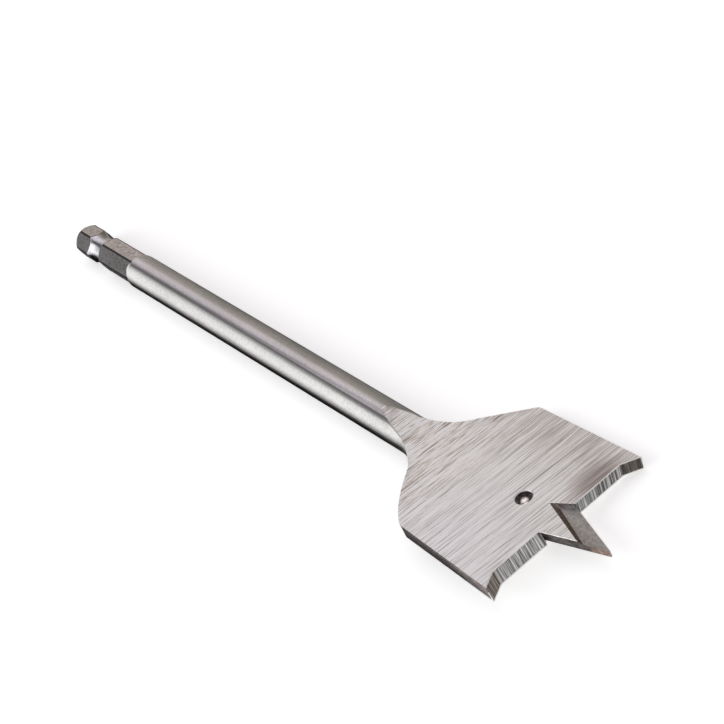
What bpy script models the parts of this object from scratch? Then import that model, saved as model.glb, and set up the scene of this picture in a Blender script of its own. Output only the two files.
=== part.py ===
"""Spade drill bit: a flat wood bit forged from one round bar of tool steel.

The bit is modelled along its own axis, X from the hexagonal end to the point, Y across the blade
and Z through the blade. It is the same after half a turn about X. An empty then lays it on the
ground with its point towards -X, resting on its shank and on one corner of the blade.
"""

import math

import bmesh
import bpy
from mathutils import Matrix, Vector

MM = 0.001

# Bar and overall length
OVERALL_LENGTH = 178.0 * MM
SHANK_DIAMETER = 7.3 * MM

# Hexagonal drive end
HEX_ACROSS_FLATS = 6.35 * MM
HEX_ACROSS_CORNERS = 7.2 * MM
HEX_LENGTH = 23.3 * MM
HEX_TURN = math.radians(-13.0)
HEX_SHOULDER_ANGLE = math.radians(20.0)
END_FACE_DIAMETER = 4.6 * MM
END_CHAMFER_LENGTH = 2.1 * MM

# Ball groove round the hexagonal end
GROOVE_CENTRE = 9.2 * MM
GROOVE_WIDTH = 5.5 * MM
GROOVE_FLOOR_WIDTH = 4.0 * MM
GROOVE_EDGE_DIAMETER = 6.15 * MM
GROOVE_FLOOR_DIAMETER = 5.7 * MM

# Blade
BLADE_WIDTH = 35.0 * MM
BLADE_THICKNESS = 2.9 * MM
BLADE_LENGTH = 24.4 * MM
SIDE_TAPER = math.radians(2.1)
SHOULDER_ANGLE = math.radians(44.0)
SHOULDER_RADIUS = 1.2 * MM
SHOULDER_CROWN = 0.8 * MM
NECK_RADIUS = 11.5 * MM
RUNOUT_LENGTH = 17.0 * MM
RUNOUT_PAST_NECK = 8.7 * MM

# Cutting edges
LIP_RELIEF = math.radians(11.8)
SPUR_HEIGHT = 1.9 * MM
SPUR_WIDTH = 3.15 * MM
SPUR_ROOT_RADIUS = 0.8 * MM
POINT_LENGTH = 13.0 * MM
POINT_WIDTH = 7.9 * MM
POINT_ROOT_RADIUS = 0.35 * MM
TIP_WIDTH = 0.24 * MM

# Hollow ground beside the point
HOLLOW_WIDTH = 3.5 * MM
HOLLOW_EDGE_DEPTH = 0.85 * MM
HOLLOW_FLOOR_ANGLE = math.radians(8.3)
HOLLOW_FLOOR_FALL = math.radians(1.3)
HOLLOW_STEP_ANGLE = math.radians(40.0)
HOLLOW_END_TURN = math.radians(29.0)
HOLLOW_END_RUN = 2.0 * MM

# Hole through the blade
HOLE_DIAMETER = 3.2 * MM
HOLE_CHAMFER = 0.2 * MM
HOLE_FROM_LIPS = 9.4 * MM

# Facets
BAR_FACETS = 24
HOLE_FACETS = 32
CORNER_FACETS = 6
NECK_FACETS = 16
SHOULDER_FACETS = 8
RUNOUT_FACETS = 18
HOLLOW_END_FACETS = 8

OVERLAP = 1.0 * MM

BAR_RADIUS = SHANK_DIAMETER / 2
HALF_THICKNESS = BLADE_THICKNESS / 2
HALF_WIDTH = BLADE_WIDTH / 2
POINT_HALF_ANGLE = math.atan2(POINT_WIDTH / 2, POINT_LENGTH)
LIP_X = OVERALL_LENGTH - POINT_LENGTH
SPUR_X = LIP_X + SPUR_HEIGHT
SHOULDER_X = LIP_X - BLADE_LENGTH
SHOULDER_HALF_WIDTH = HALF_WIDTH - (SPUR_X - SHOULDER_X) * math.tan(SIDE_TAPER)
NECK_CORNER_X = SHOULDER_X - (SHOULDER_HALF_WIDTH - BAR_RADIUS) / math.tan(SHOULDER_ANGLE)
NECK_X = NECK_CORNER_X - NECK_RADIUS * math.tan(SHOULDER_ANGLE / 2)
NECK_END_X = NECK_X + NECK_RADIUS * math.sin(SHOULDER_ANGLE)
RUNOUT_END_X = NECK_X + RUNOUT_PAST_NECK
RUNOUT_START_X = RUNOUT_END_X - RUNOUT_LENGTH
HOLE_X = LIP_X - HOLE_FROM_LIPS


def remove_everything():
    for item in list(bpy.data.objects):
        bpy.data.objects.remove(item, do_unlink=True)


def steel(name, colour, roughness):
    material = bpy.data.materials.new(name)
    material.use_nodes = True
    shader = material.node_tree.nodes["Principled BSDF"]
    shader.inputs["Base Color"].default_value = (*colour, 1.0)
    shader.inputs["Roughness"].default_value = roughness
    shader.inputs["Metallic"].default_value = 1.0
    return material


def add_object(name, bm, parent):
    """A new object from a closed bmesh, with its faces pointing out."""
    bmesh.ops.recalc_face_normals(bm, faces=bm.faces)
    mesh = bpy.data.meshes.new(name)
    bm.to_mesh(mesh)
    bm.free()
    item = bpy.data.objects.new(name, mesh)
    item.parent = parent
    bpy.context.scene.collection.objects.link(item)
    return item


def tool(name, bm, parent):
    """A shape that only cuts or joins, and is no part of the finished bit."""
    item = add_object(name, bm, parent)
    item.hide_render = True
    item.display_type = "WIRE"
    return item


def smooth_step(share):
    share = min(max(share, 0.0), 1.0)
    return share * share * (3.0 - 2.0 * share)


def rounded(corners, facets):
    """The line through corners of (x, y, radius), each rounded by an arc of its radius."""
    points = []
    for index, (x, y, radius) in enumerate(corners):
        here = Vector((x, y))
        if radius == 0.0:
            points.append(here)
            continue
        back = (Vector(corners[index - 1][:2]) - here).normalized()
        ahead = (Vector(corners[index + 1][:2]) - here).normalized()
        half = back.angle(ahead) / 2
        centre = here + (back + ahead).normalized() * (radius / math.sin(half))
        start = here + back * (radius / math.tan(half)) - centre
        sweep = math.pi - 2 * half
        turn = math.copysign(sweep, back.x * ahead.y - back.y * ahead.x)
        count = facets[index]
        for step in range(count + 1):
            points.append(centre + Matrix.Rotation(-turn * step / count, 2) @ start)
    return points


def side_bulge(x, height):
    """How far the bar's round side lies inside its widest line. It fades out along the neck."""
    fade = 1.0 - smooth_step((x - NECK_X) / RUNOUT_PAST_NECK)
    return fade * (BAR_RADIUS - math.sqrt(BAR_RADIUS**2 - height**2))


def shoulder_crown(x, height):
    """How far the trailing edge of a shoulder stands out of the straight line between its ends."""
    along = min(max((x - NECK_END_X) / (SHOULDER_X - NECK_END_X), 0.0), 1.0)
    below = min(max((HALF_THICKNESS - height) / BLADE_THICKNESS, 0.0), 1.0)
    return SHOULDER_CROWN / math.cos(SHOULDER_ANGLE) * 4 * along * (1 - along) * below


def half_outline(height):
    """The +Y side of the bit at one height, from the bar's rear end to the tip.

    Its cutting edges are on the upper face and fall back below it.
    """
    relief = (HALF_THICKNESS - height) * math.tan(LIP_RELIEF)
    corners = (
        (bar_start(), BAR_RADIUS, 0.0),
        (NECK_CORNER_X, BAR_RADIUS, NECK_RADIUS),
        (SHOULDER_X, SHOULDER_HALF_WIDTH, SHOULDER_RADIUS),
        (SPUR_X - relief, HALF_WIDTH, 0.0),
        (LIP_X - relief, HALF_WIDTH - SPUR_WIDTH, SPUR_ROOT_RADIUS),
        (LIP_X - relief, POINT_WIDTH / 2, POINT_ROOT_RADIUS),
        (OVERALL_LENGTH, TIP_WIDTH / 2, 0.0),
    )
    facets = {1: NECK_FACETS, 2: CORNER_FACETS, 4: CORNER_FACETS, 5: CORNER_FACETS}
    line = rounded(corners, facets)
    neck_end, shoulder = line[NECK_FACETS + 1], line[NECK_FACETS + 2]
    between = [neck_end.lerp(shoulder, step / SHOULDER_FACETS) for step in range(1, SHOULDER_FACETS)]
    line[NECK_FACETS + 2:NECK_FACETS + 2] = between
    return [
        (p.x, p.y - side_bulge(p.x, height) + shoulder_crown(p.x, height)) for p in line
    ]


def outline(height):
    """The closed outline at one height. The -Y side is the +Y side after half a turn."""
    far = half_outline(height)
    near = [(x, -y) for x, y in reversed(half_outline(-height))]
    return [(x, y, height) for x, y in far + near]


def bar_start():
    """Where the bar reaches its full diameter, in front of the shoulder of the flats."""
    rise = (SHANK_DIAMETER - HEX_ACROSS_FLATS) / 2
    return HEX_LENGTH + rise / math.tan(HEX_SHOULDER_ANGLE)


def bar_heights():
    """The heights of the corners of the bar's faceted section, from the lowest up."""
    step = 2 * math.pi / BAR_FACETS
    angles = [-math.pi / 2 + step * (index + 0.5) for index in range(BAR_FACETS // 2)]
    return [BAR_RADIUS * math.sin(angle) for angle in angles]


def forged_blank():
    """Bar and blade in one: outlines stacked from the bar's lowest line to its highest."""
    bm = bmesh.new()
    loops = [[bm.verts.new(point) for point in outline(height)] for height in bar_heights()]
    count = len(loops[0])
    for low, high in zip(loops, loops[1:]):
        for index in range(count - 1):
            bm.faces.new((low[index], low[index + 1], high[index + 1], high[index]))
    bm.faces.new(loops[0])
    bm.faces.new(loops[-1])
    rear = bm.faces.new([loop[0] for loop in loops] + [loop[-1] for loop in reversed(loops)])
    cone_length = (bar_start() - HEX_LENGTH) + OVERLAP * 0.25
    cone_rise = cone_length * math.tan(HEX_SHOULDER_ANGLE)
    end = bmesh.ops.extrude_face_region(bm, geom=[rear])
    bmesh.ops.delete(bm, geom=[rear], context="FACES_ONLY")
    for vert in [item for item in end["geom"] if isinstance(item, bmesh.types.BMVert)]:
        scale = (BAR_RADIUS - cone_rise) / BAR_RADIUS
        vert.co = (vert.co.x - cone_length, vert.co.y * scale, vert.co.z * scale)
    bmesh.ops.triangulate(bm, faces=bm.faces[:])
    return bm


def spun(profile, facets):
    """A closed body turned about X from a profile of (x, radius), which ends on the axis."""
    bm = bmesh.new()
    verts = [bm.verts.new((x, radius, 0.0)) for x, radius in profile]
    for first, second in zip(verts, verts[1:]):
        bm.edges.new((first, second))
    turn = Matrix.Rotation(math.pi / facets, 3, "X")
    bmesh.ops.rotate(bm, cent=(0, 0, 0), matrix=turn, verts=bm.verts)
    bmesh.ops.spin(
        bm, geom=bm.verts[:] + bm.edges[:], cent=(0, 0, 0), axis=(1, 0, 0),
        angle=2 * math.pi, steps=facets, use_merge=True,
    )
    bmesh.ops.remove_doubles(bm, verts=bm.verts, dist=MM * 0.0001)
    return bm


def groove_profile():
    """The ball groove: straight flanks and a hollow floor, from the rear forward."""
    edge, floor = GROOVE_EDGE_DIAMETER / 2, GROOVE_FLOOR_DIAMETER / 2
    corner = HEX_ACROSS_CORNERS / 2
    points = [(GROOVE_CENTRE - GROOVE_WIDTH / 2, corner)]
    for step in range(CORNER_FACETS + 1):
        share = 2 * step / CORNER_FACETS - 1
        x = GROOVE_CENTRE + share * GROOVE_FLOOR_WIDTH / 2
        points.append((x, floor + (edge - floor) * share**2))
    points.append((GROOVE_CENTRE + GROOVE_WIDTH / 2, corner))
    return points


def turned_end():
    """The outside of the drive end as it is turned, before it meets the six flats."""
    corner = HEX_ACROSS_CORNERS / 2
    front = bar_start() + OVERLAP
    profile = [(0.0, 0.0), (0.0, END_FACE_DIAMETER / 2), (END_CHAMFER_LENGTH, corner)]
    profile += groove_profile()
    profile += [(front, corner), (front, 0.0)]
    return spun(profile, BAR_FACETS)


def hexagon():
    """Six flats, longer than the turned end at both ends."""
    bm = bmesh.new()
    rear, front = -OVERLAP, bar_start() + 2 * OVERLAP
    bmesh.ops.create_circle(
        bm, cap_ends=True, segments=6, radius=HEX_ACROSS_FLATS / 2 / math.cos(math.pi / 6)
    )
    upright = Matrix.Rotation(math.pi / 2, 4, "Y")
    turn = Matrix.Rotation(HEX_TURN, 4, "X")
    bmesh.ops.transform(bm, matrix=turn @ upright, verts=bm.verts)
    bmesh.ops.translate(bm, vec=(rear, 0, 0), verts=bm.verts)
    side = bmesh.ops.extrude_face_region(bm, geom=bm.faces[:])
    moved = [item for item in side["geom"] if isinstance(item, bmesh.types.BMVert)]
    bmesh.ops.translate(bm, vec=(front - rear, 0, 0), verts=moved)
    return bm


def flattening_tool(side):
    """What forging and grinding take off one face, with a smooth runout into the round shank."""
    bm = bmesh.new()
    profile = []
    for step in range(RUNOUT_FACETS + 1):
        share = step / RUNOUT_FACETS
        drop = (BAR_RADIUS - HALF_THICKNESS) * smooth_step(share)
        profile.append((RUNOUT_START_X + share * RUNOUT_LENGTH, BAR_RADIUS - drop))
    outside = BAR_RADIUS + OVERLAP
    profile += [(OVERALL_LENGTH + OVERLAP, HALF_THICKNESS), (OVERALL_LENGTH + OVERLAP, outside)]
    profile.append((RUNOUT_START_X, outside))
    edge = HALF_WIDTH + OVERLAP
    face = bm.faces.new([bm.verts.new((x, -edge, side * z)) for x, z in profile])
    across = bmesh.ops.extrude_face_region(bm, geom=[face])
    moved = [item for item in across["geom"] if isinstance(item, bmesh.types.BMVert)]
    bmesh.ops.translate(bm, vec=(0, 2 * edge, 0), verts=moved)
    return bm


def hole_tool():
    """A drill with both chamfers, standing through the blade."""
    radius = HOLE_DIAMETER / 2
    straight = HALF_THICKNESS - HOLE_CHAMFER
    past = HALF_THICKNESS + OVERLAP
    wide = radius + past - straight
    profile = [
        (-past, 0.0), (-past, wide), (-straight, radius),
        (straight, radius), (past, wide), (past, 0.0),
    ]
    bm = spun(profile, HOLE_FACETS)
    upright = Matrix.Rotation(math.pi / 2, 4, "Y")
    place = Matrix.Translation((HOLE_X, 0, 0))
    bmesh.ops.transform(bm, matrix=place @ upright, verts=bm.verts)
    return bm


def onto_plane(point, heading, plane):
    """Where a line through a point meets a plane, given as a point on it and its normal."""
    on_plane, normal = plane
    return point - heading * ((point - on_plane).dot(normal) / heading.dot(normal))


def hollow_planes(root, along, outward):
    """The sloped floor of the hollow beside the point, and the long step down to it."""
    tip_edge = Vector((OVERALL_LENGTH, 0.0, HALF_THICKNESS - HOLLOW_EDGE_DEPTH))
    upward = Matrix.Rotation(HOLLOW_FLOOR_ANGLE, 3, -along) @ Vector((0.0, 0.0, 1.0))
    upward = Matrix.Rotation(-HOLLOW_FLOOR_FALL, 3, outward) @ upward
    fall = outward * math.sin(HOLLOW_STEP_ANGLE)
    return (
        (tip_edge, upward),
        (root - outward * HOLLOW_WIDTH, fall + Vector((0.0, 0.0, math.cos(HOLLOW_STEP_ANGLE)))),
    )


def hollow_end(root, along, outward, floor):
    """Rows of points up the end wall: sloped beside the step, and upright at the lip's root."""
    back = Vector((-math.cos(HOLLOW_END_TURN), -math.sin(HOLLOW_END_TURN), 0.0))
    down = Vector((0.0, 0.0, -1.0))
    step_top = root - back * (HOLLOW_WIDTH / back.dot(outward))
    down_step = outward / math.tan(HOLLOW_STEP_ANGLE) + down
    step_foot = onto_plane(step_top + along * HOLLOW_END_RUN, down_step, floor)
    root_foot = onto_plane(root, down, floor)
    rows = []
    for index in range(HOLLOW_END_FACETS + 1):
        share = -0.3 + 1.6 * index / HOLLOW_END_FACETS
        top, foot = step_top.lerp(root, share), step_foot.lerp(root_foot, share)
        rows.append((foot.lerp(top, 2.0), top.lerp(foot, 2.0)))
    return rows


def hollow_tool(half_turn):
    """What the grinding wheel takes off beside the point: floor, long step and short end wall."""
    along = Vector((math.cos(POINT_HALF_ANGLE), -math.sin(POINT_HALF_ANGLE), 0.0))
    outward = Vector((math.sin(POINT_HALF_ANGLE), math.cos(POINT_HALF_ANGLE), 0.0))
    root = Vector((LIP_X, POINT_WIDTH / 2, HALF_THICKNESS))
    floor, step = hollow_planes(root, along, outward)
    bm = bmesh.new()
    rows = [[bm.verts.new(point) for point in row] for row in hollow_end(root, along, outward, floor)]
    wall = [
        bm.faces.new((low[0], low[1], high[1], high[0])) for low, high in zip(rows, rows[1:])
    ]
    front = bmesh.ops.extrude_face_region(bm, geom=wall)
    moved = [item for item in front["geom"] if isinstance(item, bmesh.types.BMVert)]
    bmesh.ops.translate(bm, vec=along * 2 * POINT_LENGTH, verts=moved)
    for point, normal in (floor, step):
        cut = bmesh.ops.bisect_plane(
            bm, geom=bm.verts[:] + bm.edges[:] + bm.faces[:],
            plane_co=point, plane_no=normal, clear_inner=True,
        )
        rim = [item for item in cut["geom_cut"] if isinstance(item, bmesh.types.BMEdge)]
        bmesh.ops.edgeloop_fill(bm, edges=rim)
    bmesh.ops.triangulate(bm, faces=bm.faces[:])
    if half_turn:
        bmesh.ops.rotate(
            bm, cent=(0, 0, 0), matrix=Matrix.Rotation(math.pi, 3, "X"), verts=bm.verts
        )
    return bm


def combine(item, other, operation):
    modifier = item.modifiers.new(other.name, "BOOLEAN")
    modifier.object = other
    modifier.operation = operation
    modifier.solver = "EXACT"


def resting_roll():
    """The roll about the shank at which one corner of the blade also meets the ground.

    The shank then stands on the edge between its lowest facet and the next one.
    """
    facet_half_angle = math.pi / BAR_FACETS
    rise = BAR_RADIUS * math.cos(facet_half_angle) - HALF_THICKNESS
    return math.atan2(rise, HALF_WIDTH - BAR_RADIUS * math.sin(facet_half_angle))


def build():
    remove_everything()
    roll = resting_roll()
    axis_height = HALF_WIDTH * math.sin(roll) + HALF_THICKNESS * math.cos(roll)
    axis = bpy.data.objects.new("bit_axis", None)
    axis.location = (OVERALL_LENGTH / 2, 0.0, axis_height)
    axis.rotation_euler = (-roll, 0.0, math.pi)
    bpy.context.scene.collection.objects.link(axis)

    hex_end = tool("hex_end", turned_end(), axis)
    combine(hex_end, tool("hexagon", hexagon(), axis), "INTERSECT")

    bit = add_object("spade_bit", forged_blank(), axis)
    combine(bit, hex_end, "UNION")
    combine(bit, tool("flatten_top", flattening_tool(1), axis), "DIFFERENCE")
    combine(bit, tool("flatten_bottom", flattening_tool(-1), axis), "DIFFERENCE")
    combine(bit, tool("hole", hole_tool(), axis), "DIFFERENCE")
    combine(bit, tool("hollow_top", hollow_tool(False), axis), "DIFFERENCE")
    combine(bit, tool("hollow_bottom", hollow_tool(True), axis), "DIFFERENCE")

    bit.data.materials.append(steel("ground_tool_steel", (0.56, 0.53, 0.52), 0.34))
    bit.data.shade_smooth()
    bit.data.set_sharp_from_angle(angle=math.radians(25.0))


build()
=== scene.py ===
import math

import bmesh
import bpy
from mathutils import Euler, Matrix, Vector, noise


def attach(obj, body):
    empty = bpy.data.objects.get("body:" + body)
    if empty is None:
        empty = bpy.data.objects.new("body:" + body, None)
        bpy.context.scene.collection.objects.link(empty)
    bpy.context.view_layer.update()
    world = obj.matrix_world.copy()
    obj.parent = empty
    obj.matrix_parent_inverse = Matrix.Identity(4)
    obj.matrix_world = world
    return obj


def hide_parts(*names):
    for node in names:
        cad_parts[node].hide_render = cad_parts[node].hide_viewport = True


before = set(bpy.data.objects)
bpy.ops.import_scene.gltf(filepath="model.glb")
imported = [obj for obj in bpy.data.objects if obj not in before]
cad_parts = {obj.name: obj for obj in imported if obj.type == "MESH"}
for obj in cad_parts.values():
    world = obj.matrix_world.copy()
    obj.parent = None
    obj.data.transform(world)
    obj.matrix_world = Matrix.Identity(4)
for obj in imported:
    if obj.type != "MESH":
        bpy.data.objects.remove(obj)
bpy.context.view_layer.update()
scene = bpy.context.scene
print("frame loaded")

mm = 0.001

# How the bit lies. Its own axes run from the drive end to the point, across the blade and through
# it. Places and directions on the bit are given along them below, and places in millimetres.
lie = {
    "driveEnd": (89.0, 0.0, 3.65),
    "angles": (math.radians(-7.2603), 0.0, math.pi),
}
bitTurn = Euler(lie["angles"]).to_matrix()
bitPlace = Matrix.Translation(Vector(lie["driveEnd"]) * mm) @ bitTurn.to_4x4()
bitInverse = bitPlace.inverted()

view = {
    "eye": (448.4, -126.4, 267.9),
    "right": (0.5606, 0.7432, -0.3652),
    "down": (0.3250, -0.6032, -0.7284),
    "forward": (-0.7616, 0.2897, -0.5797),
    "lens": 122.62,
    "sensor": 36.0,
    "near": 0.01,
    "far": 20.0,
}


def setCamera():
    data = bpy.data.cameras.new("camera")
    data.lens = view["lens"]
    data.sensor_width = view["sensor"]
    data.clip_start = view["near"]
    data.clip_end = view["far"]
    camera = bpy.data.objects.new("camera", data)
    scene.collection.objects.link(camera)
    right, down, forward = (bitTurn @ Vector(view[way]) for way in ("right", "down", "forward"))
    turn = Matrix((right, -down, -forward)).transposed().to_quaternion()
    eye = bitPlace @ (Vector(view["eye"]) * mm)
    camera.matrix_world = Matrix.LocRotScale(eye, turn, None)
    scene.camera = camera


setCamera()
print("camera set")


def makeObject(name, bm):
    mesh = bpy.data.meshes.new(name)
    bm.to_mesh(mesh)
    bm.free()
    made = bpy.data.objects.new(name, mesh)
    scene.collection.objects.link(made)
    return made


def makeMaterial(name):
    material = bpy.data.materials.new(name)
    material.use_nodes = True
    return material


def addNode(tree, kind, inputs=None, **settings):
    made = tree.nodes.new("ShaderNode" + kind)
    for name, value in settings.items():
        setattr(made, name, value)
    for key, value in (inputs or {}).items():
        if isinstance(value, bpy.types.NodeSocket):
            tree.links.new(value, made.inputs[key])
        else:
            made.inputs[key].default_value = value
    return made


def combine(tree, operation, *values):
    return addNode(tree, "Math", dict(enumerate(values)), operation=operation).outputs[0]


def combineVectors(tree, operation, *values):
    return addNode(tree, "VectorMath", dict(enumerate(values)), operation=operation).outputs[0]


def mapped(tree, value, start, end, low=0.0, high=1.0, kind="LINEAR"):
    # low where the value is at start, high where it is at end
    inputs = {0: value, 1: start, 2: end, 3: low, 4: high}
    return addNode(tree, "MapRange", inputs, interpolation_type=kind).outputs[0]


def mixed(tree, share, first, second):
    return addNode(tree, "Mix", {0: share, 6: first, 7: second}, data_type="RGBA").outputs[2]


def ramped(tree, share, stops):
    # each stop is (place, grey or colour)
    made = addNode(tree, "ValToRGB", {0: share})
    elements = made.color_ramp.elements
    while len(elements) < len(stops):
        elements.new(1.0)
    for element, (place, colour) in zip(elements, stops):
        element.position = place
        element.color = (*colour, 1.0) if isinstance(colour, tuple) else (colour,) * 3 + (1.0,)
    return made.outputs[0]


def bitCoordinates(tree):
    # millimetres along the bit's own axes, whose turn is its own inverse
    where = addNode(tree, "TexCoord").outputs["Object"]
    placed = addNode(tree, "Mapping", {
        "Vector": where, "Rotation": lie["angles"], "Location": bitInverse.translation})
    return combineVectors(tree, "MULTIPLY", placed.outputs[0], (1 / mm,) * 3)


# The studio: strips of light along the bit, darker walls behind its drive end and level with its
# middle, and a plain front. Each stop is an angle round the bit, in degrees, from its far side over
# its top, and the light there. reach is where a wall takes over from the one before it, as a share
# of the direction along the bit.
studio = {
    "walls": {
        "rear": [
            (0, (0.30, 0.28, 0.26)), (25, (0.84, 0.75, 0.70)), (70, (0.84, 0.75, 0.72)),
            (95, (0.07, 0.07, 0.08)), (200, (0.07, 0.07, 0.08)), (345, (0.10, 0.10, 0.10)),
        ],
        "sides": [
            (0, (0.03, 0.03, 0.03)), (10, (0.14, 0.13, 0.11)), (24, (0.36, 0.33, 0.28)),
            (49, (0.36, 0.33, 0.30)), (62, (0.62, 0.59, 0.58)), (72, (1.04, 1.00, 1.04)),
            (90, (1.10, 1.04, 1.15)), (99, (0.80, 0.75, 0.84)), (108, (0.09, 0.08, 0.10)),
            (119, (0.01, 0.01, 0.02)), (127, (1.11, 1.12, 1.12)), (135, (1.90, 1.93, 1.93)),
            (150, (2.37, 2.41, 2.42)), (176, (2.24, 2.28, 2.30)), (200, (1.22, 1.24, 1.25)),
            (345, (0.05, 0.05, 0.04)),
        ],
        "open": [
            (0, (0.22, 0.21, 0.20)), (45, (0.42, 0.40, 0.38)), (75, (0.78, 0.75, 0.76)),
            (105, (0.55, 0.53, 0.55)), (125, (0.42, 0.41, 0.41)), (150, (0.50, 0.49, 0.48)),
            (180, (0.46, 0.45, 0.44)), (205, (0.40, 0.39, 0.38)), (345, (0.12, 0.12, 0.12)),
        ],
    },
    "front": (0.80, 0.79, 0.78, 1.0),
    "reach": {"sides": (-0.81, -0.76), "open": (-0.25, 0.15), "front": (0.75, 0.95)},
    "backdrop": (1.0, 1.0, 1.0, 1.0),
}


def lightStudio():
    world = bpy.data.worlds.new("studio")
    scene.world = world
    world.use_nodes = True
    tree = world.node_tree
    tree.nodes.clear()
    where = addNode(tree, "TexCoord").outputs["Generated"]
    turned = addNode(tree, "Mapping", {"Vector": where, "Rotation": lie["angles"]}).outputs[0]
    axes = addNode(tree, "SeparateXYZ", {0: turned}).outputs
    angle = combine(tree, "ARCTAN2", axes["Z"], axes["Y"])
    wrapped = combine(tree, "WRAP", angle, 0.0, 2 * math.pi)
    share = combine(tree, "MULTIPLY", wrapped, 1 / (2 * math.pi))
    walls = {
        name: ramped(tree, share, [(degrees / 360, light) for degrees, light in stops])
        for name, stops in studio["walls"].items()}
    walls["front"] = studio["front"]
    light = walls["rear"]
    for name, (start, end) in studio["reach"].items():
        ahead = mapped(tree, axes["X"], start, end, kind="SMOOTHSTEP")
        light = mixed(tree, ahead, light, walls[name])
    isCamera = addNode(tree, "LightPath").outputs["Is Camera Ray"]
    shown = mixed(tree, isCamera, light, studio["backdrop"])
    background = addNode(tree, "Background", {"Color": shown})
    output = addNode(tree, "OutputWorld", {"Surface": background.outputs[0]})
    output.is_active_output = True
    scene.view_settings.view_transform = "Standard"


lightStudio()

# White paper, in metres. The camera and the steel see it lifted by glow, and it keeps its shadow.
paper = {"side": 3.0, "drop": 0.00002, "white": (0.9, 0.9, 0.9, 1.0), "glow": 0.45}


def layFloor():
    bm = bmesh.new()
    bmesh.ops.create_grid(bm, x_segments=1, y_segments=1, size=paper["side"] / 2)
    bmesh.ops.translate(bm, vec=(0, 0, -paper["drop"]), verts=bm.verts)
    floor = makeObject("floor", bm)
    material = makeMaterial("whitePaper")
    tree = material.node_tree
    tree.nodes.clear()
    rays = addNode(tree, "LightPath").outputs
    seen = combine(tree, "MAXIMUM", rays["Is Camera Ray"], rays["Is Glossy Ray"])
    seen = combine(tree, "MAXIMUM", seen, rays["Is Transmission Ray"])
    lift = combine(tree, "MULTIPLY", seen, paper["glow"])
    diffuse = addNode(tree, "BsdfDiffuse", {"Color": paper["white"]})
    glow = addNode(tree, "Emission", {"Color": studio["backdrop"], "Strength": lift})
    both = addNode(tree, "AddShader", {0: diffuse.outputs[0], 1: glow.outputs[0]})
    addNode(tree, "OutputMaterial", {"Surface": both.outputs[0]})
    floor.data.materials.append(material)


layFloor()

# Glowing cards on the floor beside the bit, which only its steel mirrors: painted reflection, dark
# close beside and under the bit where the floor lies in its shade, and lighter further out. Corners
# are along and across the bit, each shade is (place across the bit, light there), and lift is the
# height over the floor.
cards = {
    "shankCard": {
        "corners": [(-12, -26), (131, -26), (131, 120), (-12, 120)],
        "shades": [(-26, 0.74), (-20, 0.38), (-15.5, 0.05), (-10, 0.004), (9, 0.02), (18, 0.06),
                   (40, 0.16), (120, 0.28)],
        "lift": 0.04,
    },
    "bladeCard": {
        "corners": [(118, -5), (134, -27), (163.5, -28), (163.5, -15), (136, -5)],
        "shades": [(-28, 0.08), (-5, 0.08)],
        "lift": 0.05,
    },
    "frontCard": {
        "corners": [(164, -17.3), (200, -17.3), (200, 45), (164, 45)],
        "shades": [(-17.3, 0.66), (45, 0.60)],
        "lift": 0.04,
    },
}


def layCard(name, card):
    bm = bmesh.new()
    lifted = Matrix.Translation((0, 0, card["lift"] * mm))
    flat = lifted @ Matrix.Diagonal((1, 1, 0, 1)) @ bitPlace
    bm.faces.new([bm.verts.new(flat @ (Vector((x, y, 0)) * mm)) for x, y in card["corners"]])
    piece = makeObject(name, bm)
    piece.visible_camera = False
    piece.visible_diffuse = False
    piece.visible_transmission = False
    piece.visible_shadow = False
    material = makeMaterial(name)
    tree = material.node_tree
    tree.nodes.clear()
    across = addNode(tree, "SeparateXYZ", {0: bitCoordinates(tree)}).outputs["Y"]
    low, high = card["shades"][0][0], card["shades"][-1][0]
    stops = [((place - low) / (high - low), light) for place, light in card["shades"]]
    shade = ramped(tree, mapped(tree, across, low, high), stops)
    glow = addNode(tree, "Emission", {"Color": shade})
    addNode(tree, "OutputMaterial", {"Surface": glow.outputs[0]})
    piece.data.materials.append(material)


for name, card in cards.items():
    layCard(name, card)
print("studio ready")

# What all the steel shares. Its grain is noise, of which range goes from the darkest line to the
# lightest, and the lines' roughness goes from the first share of the finish's to the second.
metal = {
    "anisotropy": 0.96,
    "range": (0.3, 0.7),
    "detail": 4.0,
    "ragged": 0.7,
    "roughShares": (1.15, 0.85),
    "bumpHeight": 0.00005,
    "cloudScale": 0.12,
    "cloudDetail": 2.0,
    "cloudLight": (0.95, 1.05),
    "patchEdge": (1.0, 0.2),
}
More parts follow.
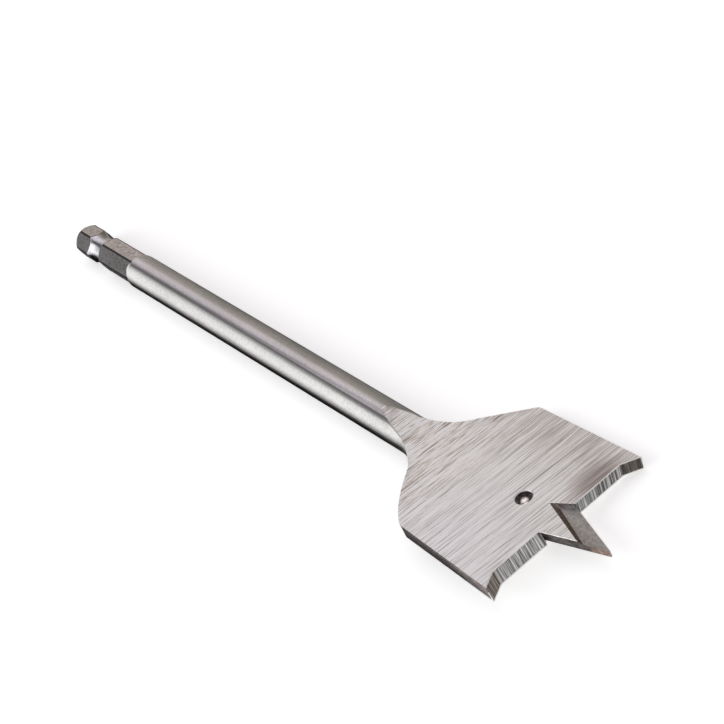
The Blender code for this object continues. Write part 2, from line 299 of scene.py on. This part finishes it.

# Steel finishes, with painted light and shade in some of their tints and patches. grain is the
# lines a millimetre along, across and through the bit, turned by grainTurn degrees. contrast is how
# far they go lighter and darker, and darkTint the colour of the darker ones. spread is the way in
# which they scatter the light. A patch is (centre, size, depth, tint), a soft spot of another
# shade.
# strokes grow from nothing at the first of two places along the bit to their full depth at the
# second, and each of their tints has its range of the noise.
finishesAndPaintedLight = {
    "groundFace": {
        "tint": (0.89, 0.885, 0.87), "rough": 0.50, "grain": (5.4, 0.10, 0.4), "grainTurn": 4,
        "contrast": 0.52, "darkTint": (1.0, 0.96, 0.93), "bump": 0.35, "spread": "along",
        "strokes": {
            "grain": (3.9, 0.24, 0.3), "detail": 2.0, "along": (147.0, 133.0),
            "tints": [((0.50, 0.36), (0.50, 0.43, 0.38)), ((0.54, 0.68), (1.45, 1.44, 1.43))],
        },
        # The patches darken the face by the far lip and over its far half, and lighten it by the
        # neck and on its near half. All but the first are painted reflection of the studio's light
        # and shade across the flat face.
        "patches": [
            ((163.8, 10.0, 1.45), (5.0, 8.5, 2.0), 0.85, (0.50, 0.44, 0.42)),
            ((152.0, 18.0, 1.45), (26.0, 17.0, 4.0), 0.45, (0.78, 0.75, 0.73)),
            ((129.0, 0.0, 1.45), (17.0, 12.0, 4.0), 1.0, (1.20, 1.20, 1.19)),
            ((152.0, -14.0, 1.45), (24.0, 14.0, 4.0), 1.0, (1.09, 1.09, 1.12)),
        ],
    },
    "turnedShank": {
        "tint": (0.635, 0.625, 0.615), "rough": 0.38, "grain": (3.0, 2.2, 2.2),
        "contrast": 0.16, "darkTint": (1.0, 0.98, 0.97), "bump": 0.22, "spread": "along",
    },
    "hexFlat": {
        "tint": (0.43, 0.41, 0.40), "rough": 0.30, "grain": (1.3, 1.8, 1.8),
        "contrast": 0.50, "darkTint": (1.0, 0.98, 0.97), "bump": 0.40, "spread": "around",
    },
    # hexCorner's near-black tint, on the hex's corner faces and edge bevels, is painted shade: the
    # dark lines along them.
    "hexCorner": {
        "tint": (0.07, 0.06, 0.06), "rough": 0.40, "grain": (2.0, 3.0, 3.0),
        "contrast": 0.30, "darkTint": (1.0, 1.0, 1.0), "bump": 0.10, "spread": "along",
    },
    "turnedGroove": {
        "tint": (0.66, 0.66, 0.69), "rough": 0.28, "grain": (3.0, 0.9, 0.9),
        "contrast": 0.20, "darkTint": (1.0, 0.97, 0.95), "bump": 0.10, "spread": "along",
        # The patch darkens the groove's top on its far side: painted shade.
        "patches": [((9.2, 2.4, 2.2), (5.0, 2.6, 2.6), 1.0, (0.42, 0.38, 0.35))],
    },
    "groundEdge": {
        "tint": (0.53, 0.525, 0.525), "rough": 0.50, "grain": (0.15, 3.2, 0.08),
        "range": (0.38, 0.64), "contrast": 0.85, "darkTint": (1.0, 0.96, 0.92), "bump": 0.40,
        "spread": "across",
        # The first patch is a painted highlight at the near lip's inner end, and the second darkens
        # the far lip's edge.
        "patches": [
            ((165.0, -5.0, 0.0), (3.0, 1.4, 4.0), 1.0, (1.3, 1.3, 1.3)),
            ((165.0, 14.0, 0.0), (4.0, 6.0, 4.0), 0.55, (0.68, 0.65, 0.62)),
        ],
    },
    "spurEdge": {
        "tint": (0.30, 0.265, 0.235), "rough": 0.50, "grain": (0.15, 3.6, 0.08),
        "range": (0.38, 0.64), "contrast": 0.85, "darkTint": (1.0, 0.95, 0.90), "bump": 0.40,
        "spread": "across",
        "patches": [((166.0, 17.0, 0.0), (4.0, 4.0, 4.0), 0.8, (0.50, 0.50, 0.50))],
    },
    # The blade's sides get a dark tint: painted shade for the dark surroundings they mirror.
    "paintedShadeSide": {
        "tint": (0.32, 0.29, 0.28), "rough": 0.50, "grain": (0.45, 0.9, 2.4),
        "contrast": 0.60, "darkTint": (1.0, 0.96, 0.96), "bump": 0.25, "spread": "along",
    },
    "hollowFloor": {
        "tint": (0.585, 0.58, 0.585), "rough": 0.40, "grain": (1.5, 1.5, 1.5),
        "contrast": 0.24, "darkTint": (1.0, 0.93, 0.90), "bump": 0.10, "spread": "along",
    },
    # Its dark tint is painted shade on the step wall down in the hollow.
    "hollowStep": {
        "tint": (0.15, 0.12, 0.10), "rough": 0.42, "grain": (2.0, 2.0, 2.0),
        "contrast": 0.60, "darkTint": (1.0, 0.95, 0.92), "bump": 0.10, "spread": "along",
    },
    "hollowEnd": {
        "tint": (0.42, 0.41, 0.405), "rough": 0.42, "grain": (0.5, 4.0, 0.3),
        "contrast": 0.60, "darkTint": (1.0, 0.97, 0.95), "bump": 0.10, "spread": "across",
    },
    # The flank's dark tint and the near-black spot at its root are painted shade, and the light
    # pinkish spot towards the tip is a painted highlight.
    "pointFlank": {
        "tint": (0.155, 0.140, 0.134), "rough": 0.42, "grain": (1.0, 1.0, 2.0),
        "contrast": 0.60, "darkTint": (1.0, 0.96, 0.93), "bump": 0.10, "spread": "along",
        "patches": [
            ((165.0, -4.8, 0.0), (2.6, 2.8, 4.0), 1.0, (0.10, 0.09, 0.09)),
            ((177.6, -0.5, 0.0), (6.0, 3.0, 3.0), 1.0, (3.0, 2.4, 2.15)),
        ],
    },
    # The bore's near-black wall is painted shade inside the hole, and its patch is a painted
    # highlight where light from the floor falls on the wall's lower side.
    "boreWall": {
        "tint": (0.05, 0.04, 0.04), "rough": 0.35, "grain": (2.0, 2.0, 2.0),
        "contrast": 0.90, "darkTint": (1.0, 0.90, 0.88), "bump": 0.30, "spread": "along",
        "patches": [((154.2, 0.5, -0.65), (1.0, 1.0, 0.9), 1.0, (19.0, 21.0, 20.5))],
    },
    "boreRim": {
        "tint": (0.95, 0.94, 0.93), "rough": 0.75, "grain": (3.0, 3.0, 3.0),
        "contrast": 0.10, "darkTint": (1.0, 1.0, 1.0), "bump": 0.02, "spread": "across",
    },
    "wornEdge": {
        "tint": (0.92, 0.90, 0.88), "rough": 0.35, "grain": (3.0, 3.0, 3.0),
        "contrast": 0.10, "darkTint": (1.0, 1.0, 1.0), "bump": 0.02, "spread": "along",
    },
}


def spreadDirection(tree, spread):
    if spread == "around":
        normal = addNode(tree, "NewGeometry").outputs["Normal"]
        return combineVectors(tree, "CROSS_PRODUCT", normal, bitTurn.col[0])
    axis = bitTurn.col[0] if spread == "along" else bitTurn.col[1]
    return addNode(tree, "CombineXYZ", dict(enumerate(axis))).outputs[0]


def grainLines(tree, place, grain, turn, detail):
    turned = addNode(tree, "Mapping", {"Vector": place, "Rotation": (0.0, 0.0, turn)}).outputs[0]
    return addNode(tree, "TexNoise", {
        "Vector": combineVectors(tree, "MULTIPLY", turned, grain), "Scale": 1.0,
        "Detail": detail, "Roughness": metal["ragged"]}).outputs[0]


def blend(tree, share, colour, tint):
    return mixed(tree, share, colour, combineVectors(tree, "MULTIPLY", colour, tint))


def addStrokes(tree, place, colour, strokes, turn):
    along = addNode(tree, "SeparateXYZ", {0: place}).outputs["X"]
    depth = mapped(tree, along, *strokes["along"])
    lines = grainLines(tree, place, strokes["grain"], turn, strokes["detail"])
    for (low, high), tint in strokes["tints"]:
        share = combine(tree, "MULTIPLY", depth, mapped(tree, lines, low, high))
        colour = blend(tree, share, colour, tint)
    return colour


def addPatch(tree, place, colour, patch):
    centre, size, depth, tint = patch
    away = combineVectors(tree, "DIVIDE", combineVectors(tree, "SUBTRACT", place, centre), size)
    reach = addNode(tree, "VectorMath", {0: away}, operation="LENGTH").outputs["Value"]
    share = mapped(tree, reach, *metal["patchEdge"], high=depth, kind="SMOOTHSTEP")
    return blend(tree, share, colour, tint)


def steel(name, finish):
    material = makeMaterial(name)
    tree = material.node_tree
    shader = tree.nodes["Principled BSDF"]
    shader.inputs["Metallic"].default_value = 1.0
    shader.inputs["Anisotropic"].default_value = metal["anisotropy"]
    tree.links.new(spreadDirection(tree, finish["spread"]), shader.inputs["Tangent"])
    place = bitCoordinates(tree)
    turn = math.radians(finish.get("grainTurn", 0))
    lines = grainLines(tree, place, finish["grain"], turn, metal["detail"])
    depth = finish["contrast"]
    dark = (*((1.0 - depth) * part for part in finish["darkTint"]), 1.0)
    light = (1.0 + depth,) * 3 + (1.0,)
    share = mapped(tree, lines, *finish.get("range", metal["range"]))
    shade = mixed(tree, share, dark, light)
    clouds = addNode(tree, "TexNoise", {
        "Vector": place, "Scale": metal["cloudScale"], "Detail": metal["cloudDetail"]}).outputs[0]
    cloud = mapped(tree, clouds, *metal["range"], *metal["cloudLight"])
    clouded = combineVectors(tree, "MULTIPLY", shade, cloud)
    colour = combineVectors(tree, "MULTIPLY", clouded, finish["tint"])
    if "strokes" in finish:
        colour = addStrokes(tree, place, colour, finish["strokes"], turn)
    for patch in finish.get("patches", []):
        colour = addPatch(tree, place, colour, patch)
    tree.links.new(colour, shader.inputs["Base Color"])
    roughest, smoothest = (finish["rough"] * part for part in metal["roughShares"])
    rough = mapped(tree, lines, *metal["range"], roughest, smoothest)
    tree.links.new(rough, shader.inputs["Roughness"])
    bump = addNode(tree, "Bump", {
        "Height": lines, "Strength": finish["bump"], "Distance": metal["bumpHeight"]})
    tree.links.new(bump.outputs[0], shader.inputs["Normal"])
    return material


steels = {name: steel(name, finish) for name, finish in finishesAndPaintedLight.items()}
print("finishes made")

# Where the bit's parts start and end and how far they reach from its axis, to tell its faces and
# edges apart. skin is half the blade's thickness less a hair, and the cutting edges lie within
# cutWidth of the axis and over cutHeight.
bit = {
    "barRadius": 3.65,
    "hexEdges": 23.0,
    "hexFaces": 23.35,
    "cornerRadius": 3.5,
    "groove": (6.3, 12.1),
    "grooveRadius": 3.12,
    "runoutStart": 114.0,
    "runoutFaces": 131.0,
    "runoutEdges": 131.5,
    "runoutRadius": 3.3,
    "runoutSlack": 0.06,
    "skin": 1.44,
    "hole": (155.6, 1.9),
    "pointRoot": 157.5,
    "pointWidth": 5.0,
    "hollowWidth": 4.0,
    "hollowEnd": 164.6,
    "lips": 165.0,
    "spurs": 14.2,
    "cutWidth": 17.2,
    "cutHeight": 1.3,
    "spurTip": (166.5, 16.9),
}

# How far a face looks along the bit or through the blade, from 0 to 1, to count as what is named
facing = {
    "square": 0.02,
    "runoutAlong": 0.6,
    "runoutThrough": 0.99,
    "rim": 0.3,
    "hollow": 0.15,
    "hollowBack": -0.3,
    "hollowFloor": 0.95,
    "hollowStep": 0.55,
    "blade": 0.9,
    "front": 0.55,
}


def faceFinish(centre, normal):
    x, y, z = centre / mm
    along, across, through = normal
    radius = math.hypot(y, z)
    level = abs(through)
    if x < bit["hexFaces"]:
        square = abs(along) < facing["square"]
        start, end = bit["groove"]
        if start < x < end and (abs(along) > facing["square"] or radius < bit["grooveRadius"]):
            return "turnedGroove"
        return "hexCorner" if square and radius > bit["cornerRadius"] else "hexFlat"
    roundSide = radius > bit["runoutRadius"] and x < bit["runoutFaces"]
    roundSide = roundSide and abs(along) < facing["runoutAlong"]
    if x < bit["runoutStart"] or (roundSide and level < facing["runoutThrough"]):
        return "turnedShank"
    inside = abs(z) < bit["skin"]
    holeX, holeRadius = bit["hole"]
    if inside and math.hypot(x - holeX, y) < holeRadius:
        return "boreRim" if level > facing["rim"] else "boreWall"
    inPoint = x > bit["pointRoot"] and abs(y) < bit["hollowWidth"]
    if inside and inPoint and level > facing["hollow"] and along > facing["hollowBack"]:
        if level > facing["hollowFloor"]:
            return "hollowFloor"
        if level > facing["hollowStep"] and abs(across) > abs(along):
            return "hollowStep"
    if level > facing["blade"]:
        return "groundFace"
    if along > facing["front"]:
        if x < bit["hollowEnd"] and abs(y) < bit["hollowWidth"]:
            return "hollowEnd"
        return "spurEdge" if abs(y) > bit["spurs"] else "groundEdge"
    return "pointFlank" if x > bit["lips"] and abs(y) < bit["pointWidth"] else "paintedShadeSide"


def edgePlace(edge):
    x, y, z = (bitInverse @ ((edge.verts[0].co + edge.verts[1].co) / 2)) / mm
    if x < bit["hexEdges"]:
        return "hexEdges"
    onBar = abs(math.hypot(y, z) - bit["barRadius"]) < bit["runoutSlack"]
    if onBar and bit["runoutStart"] < x < bit["runoutEdges"]:
        return "runoutEdges"
    if x > bit["pointRoot"] and abs(y) < bit["cutWidth"] and abs(z) > bit["cutHeight"]:
        return "cutEdges"
    tipX, tipY = bit["spurTip"]
    atTip = x > tipX and abs(y) > tipY and abs(z) < bit["cutHeight"]
    return "spurTip" if atTip else "sideEdges"


# Edges sharper than least, in degrees, are bevelled or carry a ragged bead of cones, step long.
# Vertices closer than merge become one, faces less than flat degrees apart become one, and those
# less than smooth degrees apart shade as one. ragged is how fast the bead's radius changes, for
# each metre.
edging = {
    "merge": 0.002,
    "flat": 0.4,
    "shortest": 0.12,
    "smooth": 32,
    "bevels": {
        # the hex's edge bevels take hexCorner's near-black painted shade
        "hexEdges": {"least": 24, "width": 0.08, "finish": "hexCorner"},
        "runoutEdges": {"least": 17, "width": 0.13, "finish": "turnedShank"},
    },
    "burr": {
        "places": ("cutEdges", "spurTip"), "least": 45, "radius": (0.05, 0.16), "step": 0.6,
        "ragged": 1400, "sides": 6, "finish": "wornEdge",
    },
}


def edgesAt(bm, places, least):
    sharp = [edge for edge in bm.edges if edge.calc_face_angle_signed() > math.radians(least)]
    return [edge for edge in sharp if edgePlace(edge) in places]


def raiseBurr(bm, start, end, materialIndex):
    burr = edging["burr"]
    low, high = burr["radius"]
    count = max(1, round((end - start).length / (burr["step"] * mm)))
    spots = [start.lerp(end, step / count) for step in range(count + 1)]
    waves = [0.5 + 0.5 * noise.noise(spot * burr["ragged"]) for spot in spots]
    radii = [(low + (high - low) * wave) * mm for wave in waves]
    turn = (end - start).to_track_quat("Z", "Y")
    for first, second, thick, thin in zip(spots, spots[1:], radii, radii[1:]):
        place = Matrix.LocRotScale((first + second) / 2, turn, None)
        made = bmesh.ops.create_cone(
            bm, cap_ends=True, cap_tris=False, segments=burr["sides"], radius1=thick,
            radius2=thin, depth=(second - first).length, matrix=place)
        for face in {face for vert in made["verts"] for face in vert.link_faces}:
            face.material_index = materialIndex


def cleanCopy(node):
    bm = bmesh.new()
    bm.from_mesh(node.data)
    bmesh.ops.remove_doubles(bm, verts=bm.verts, dist=edging["merge"] * mm)
    bmesh.ops.dissolve_limit(
        bm, angle_limit=math.radians(edging["flat"]), use_dissolve_boundaries=False,
        verts=bm.verts, edges=bm.edges)
    tiny = [edge for edge in bm.edges if edge.calc_length() < edging["shortest"] * mm
            and edgePlace(edge) == "runoutEdges"]
    bmesh.ops.collapse(bm, edges=tiny, uvs=False)
    return bm


def dressBit():
    bm = cleanCopy(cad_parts["spade_bit"])
    names = list(steels)
    turnBack = bitInverse.to_3x3()
    for face in bm.faces:
        finish = faceFinish(bitInverse @ face.calc_center_median(), turnBack @ face.normal)
        face.material_index = names.index(finish)
    burr = edging["burr"]
    burrs = [tuple(vert.co.copy() for vert in edge.verts)
             for edge in edgesAt(bm, burr["places"], burr["least"])]
    for place, bevel in edging["bevels"].items():
        made = bmesh.ops.bevel(
            bm, geom=edgesAt(bm, (place,), bevel["least"]), offset=bevel["width"] * mm,
            offset_type="OFFSET", affect="EDGES", segments=2, profile=0.5, material=-1,
            clamp_overlap=False)
        for face in made["faces"]:
            face.material_index = names.index(bevel["finish"])
    for start, end in burrs:
        raiseBurr(bm, start, end, names.index(burr["finish"]))
    piece = makeObject("bladeAndShank", bm)
    for name in names:
        piece.data.materials.append(steels[name])
    piece.data.shade_smooth()
    piece.data.set_sharp_from_angle(angle=math.radians(edging["smooth"]))
    even = piece.modifiers.new("evenNormals", "WEIGHTED_NORMAL")
    even.mode = "FACE_AREA"
    even.keep_sharp = True
    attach(piece, "root")
    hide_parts("spade_bit")
    print("bit dressed,", len(piece.data.polygons), "faces")


dressBit()
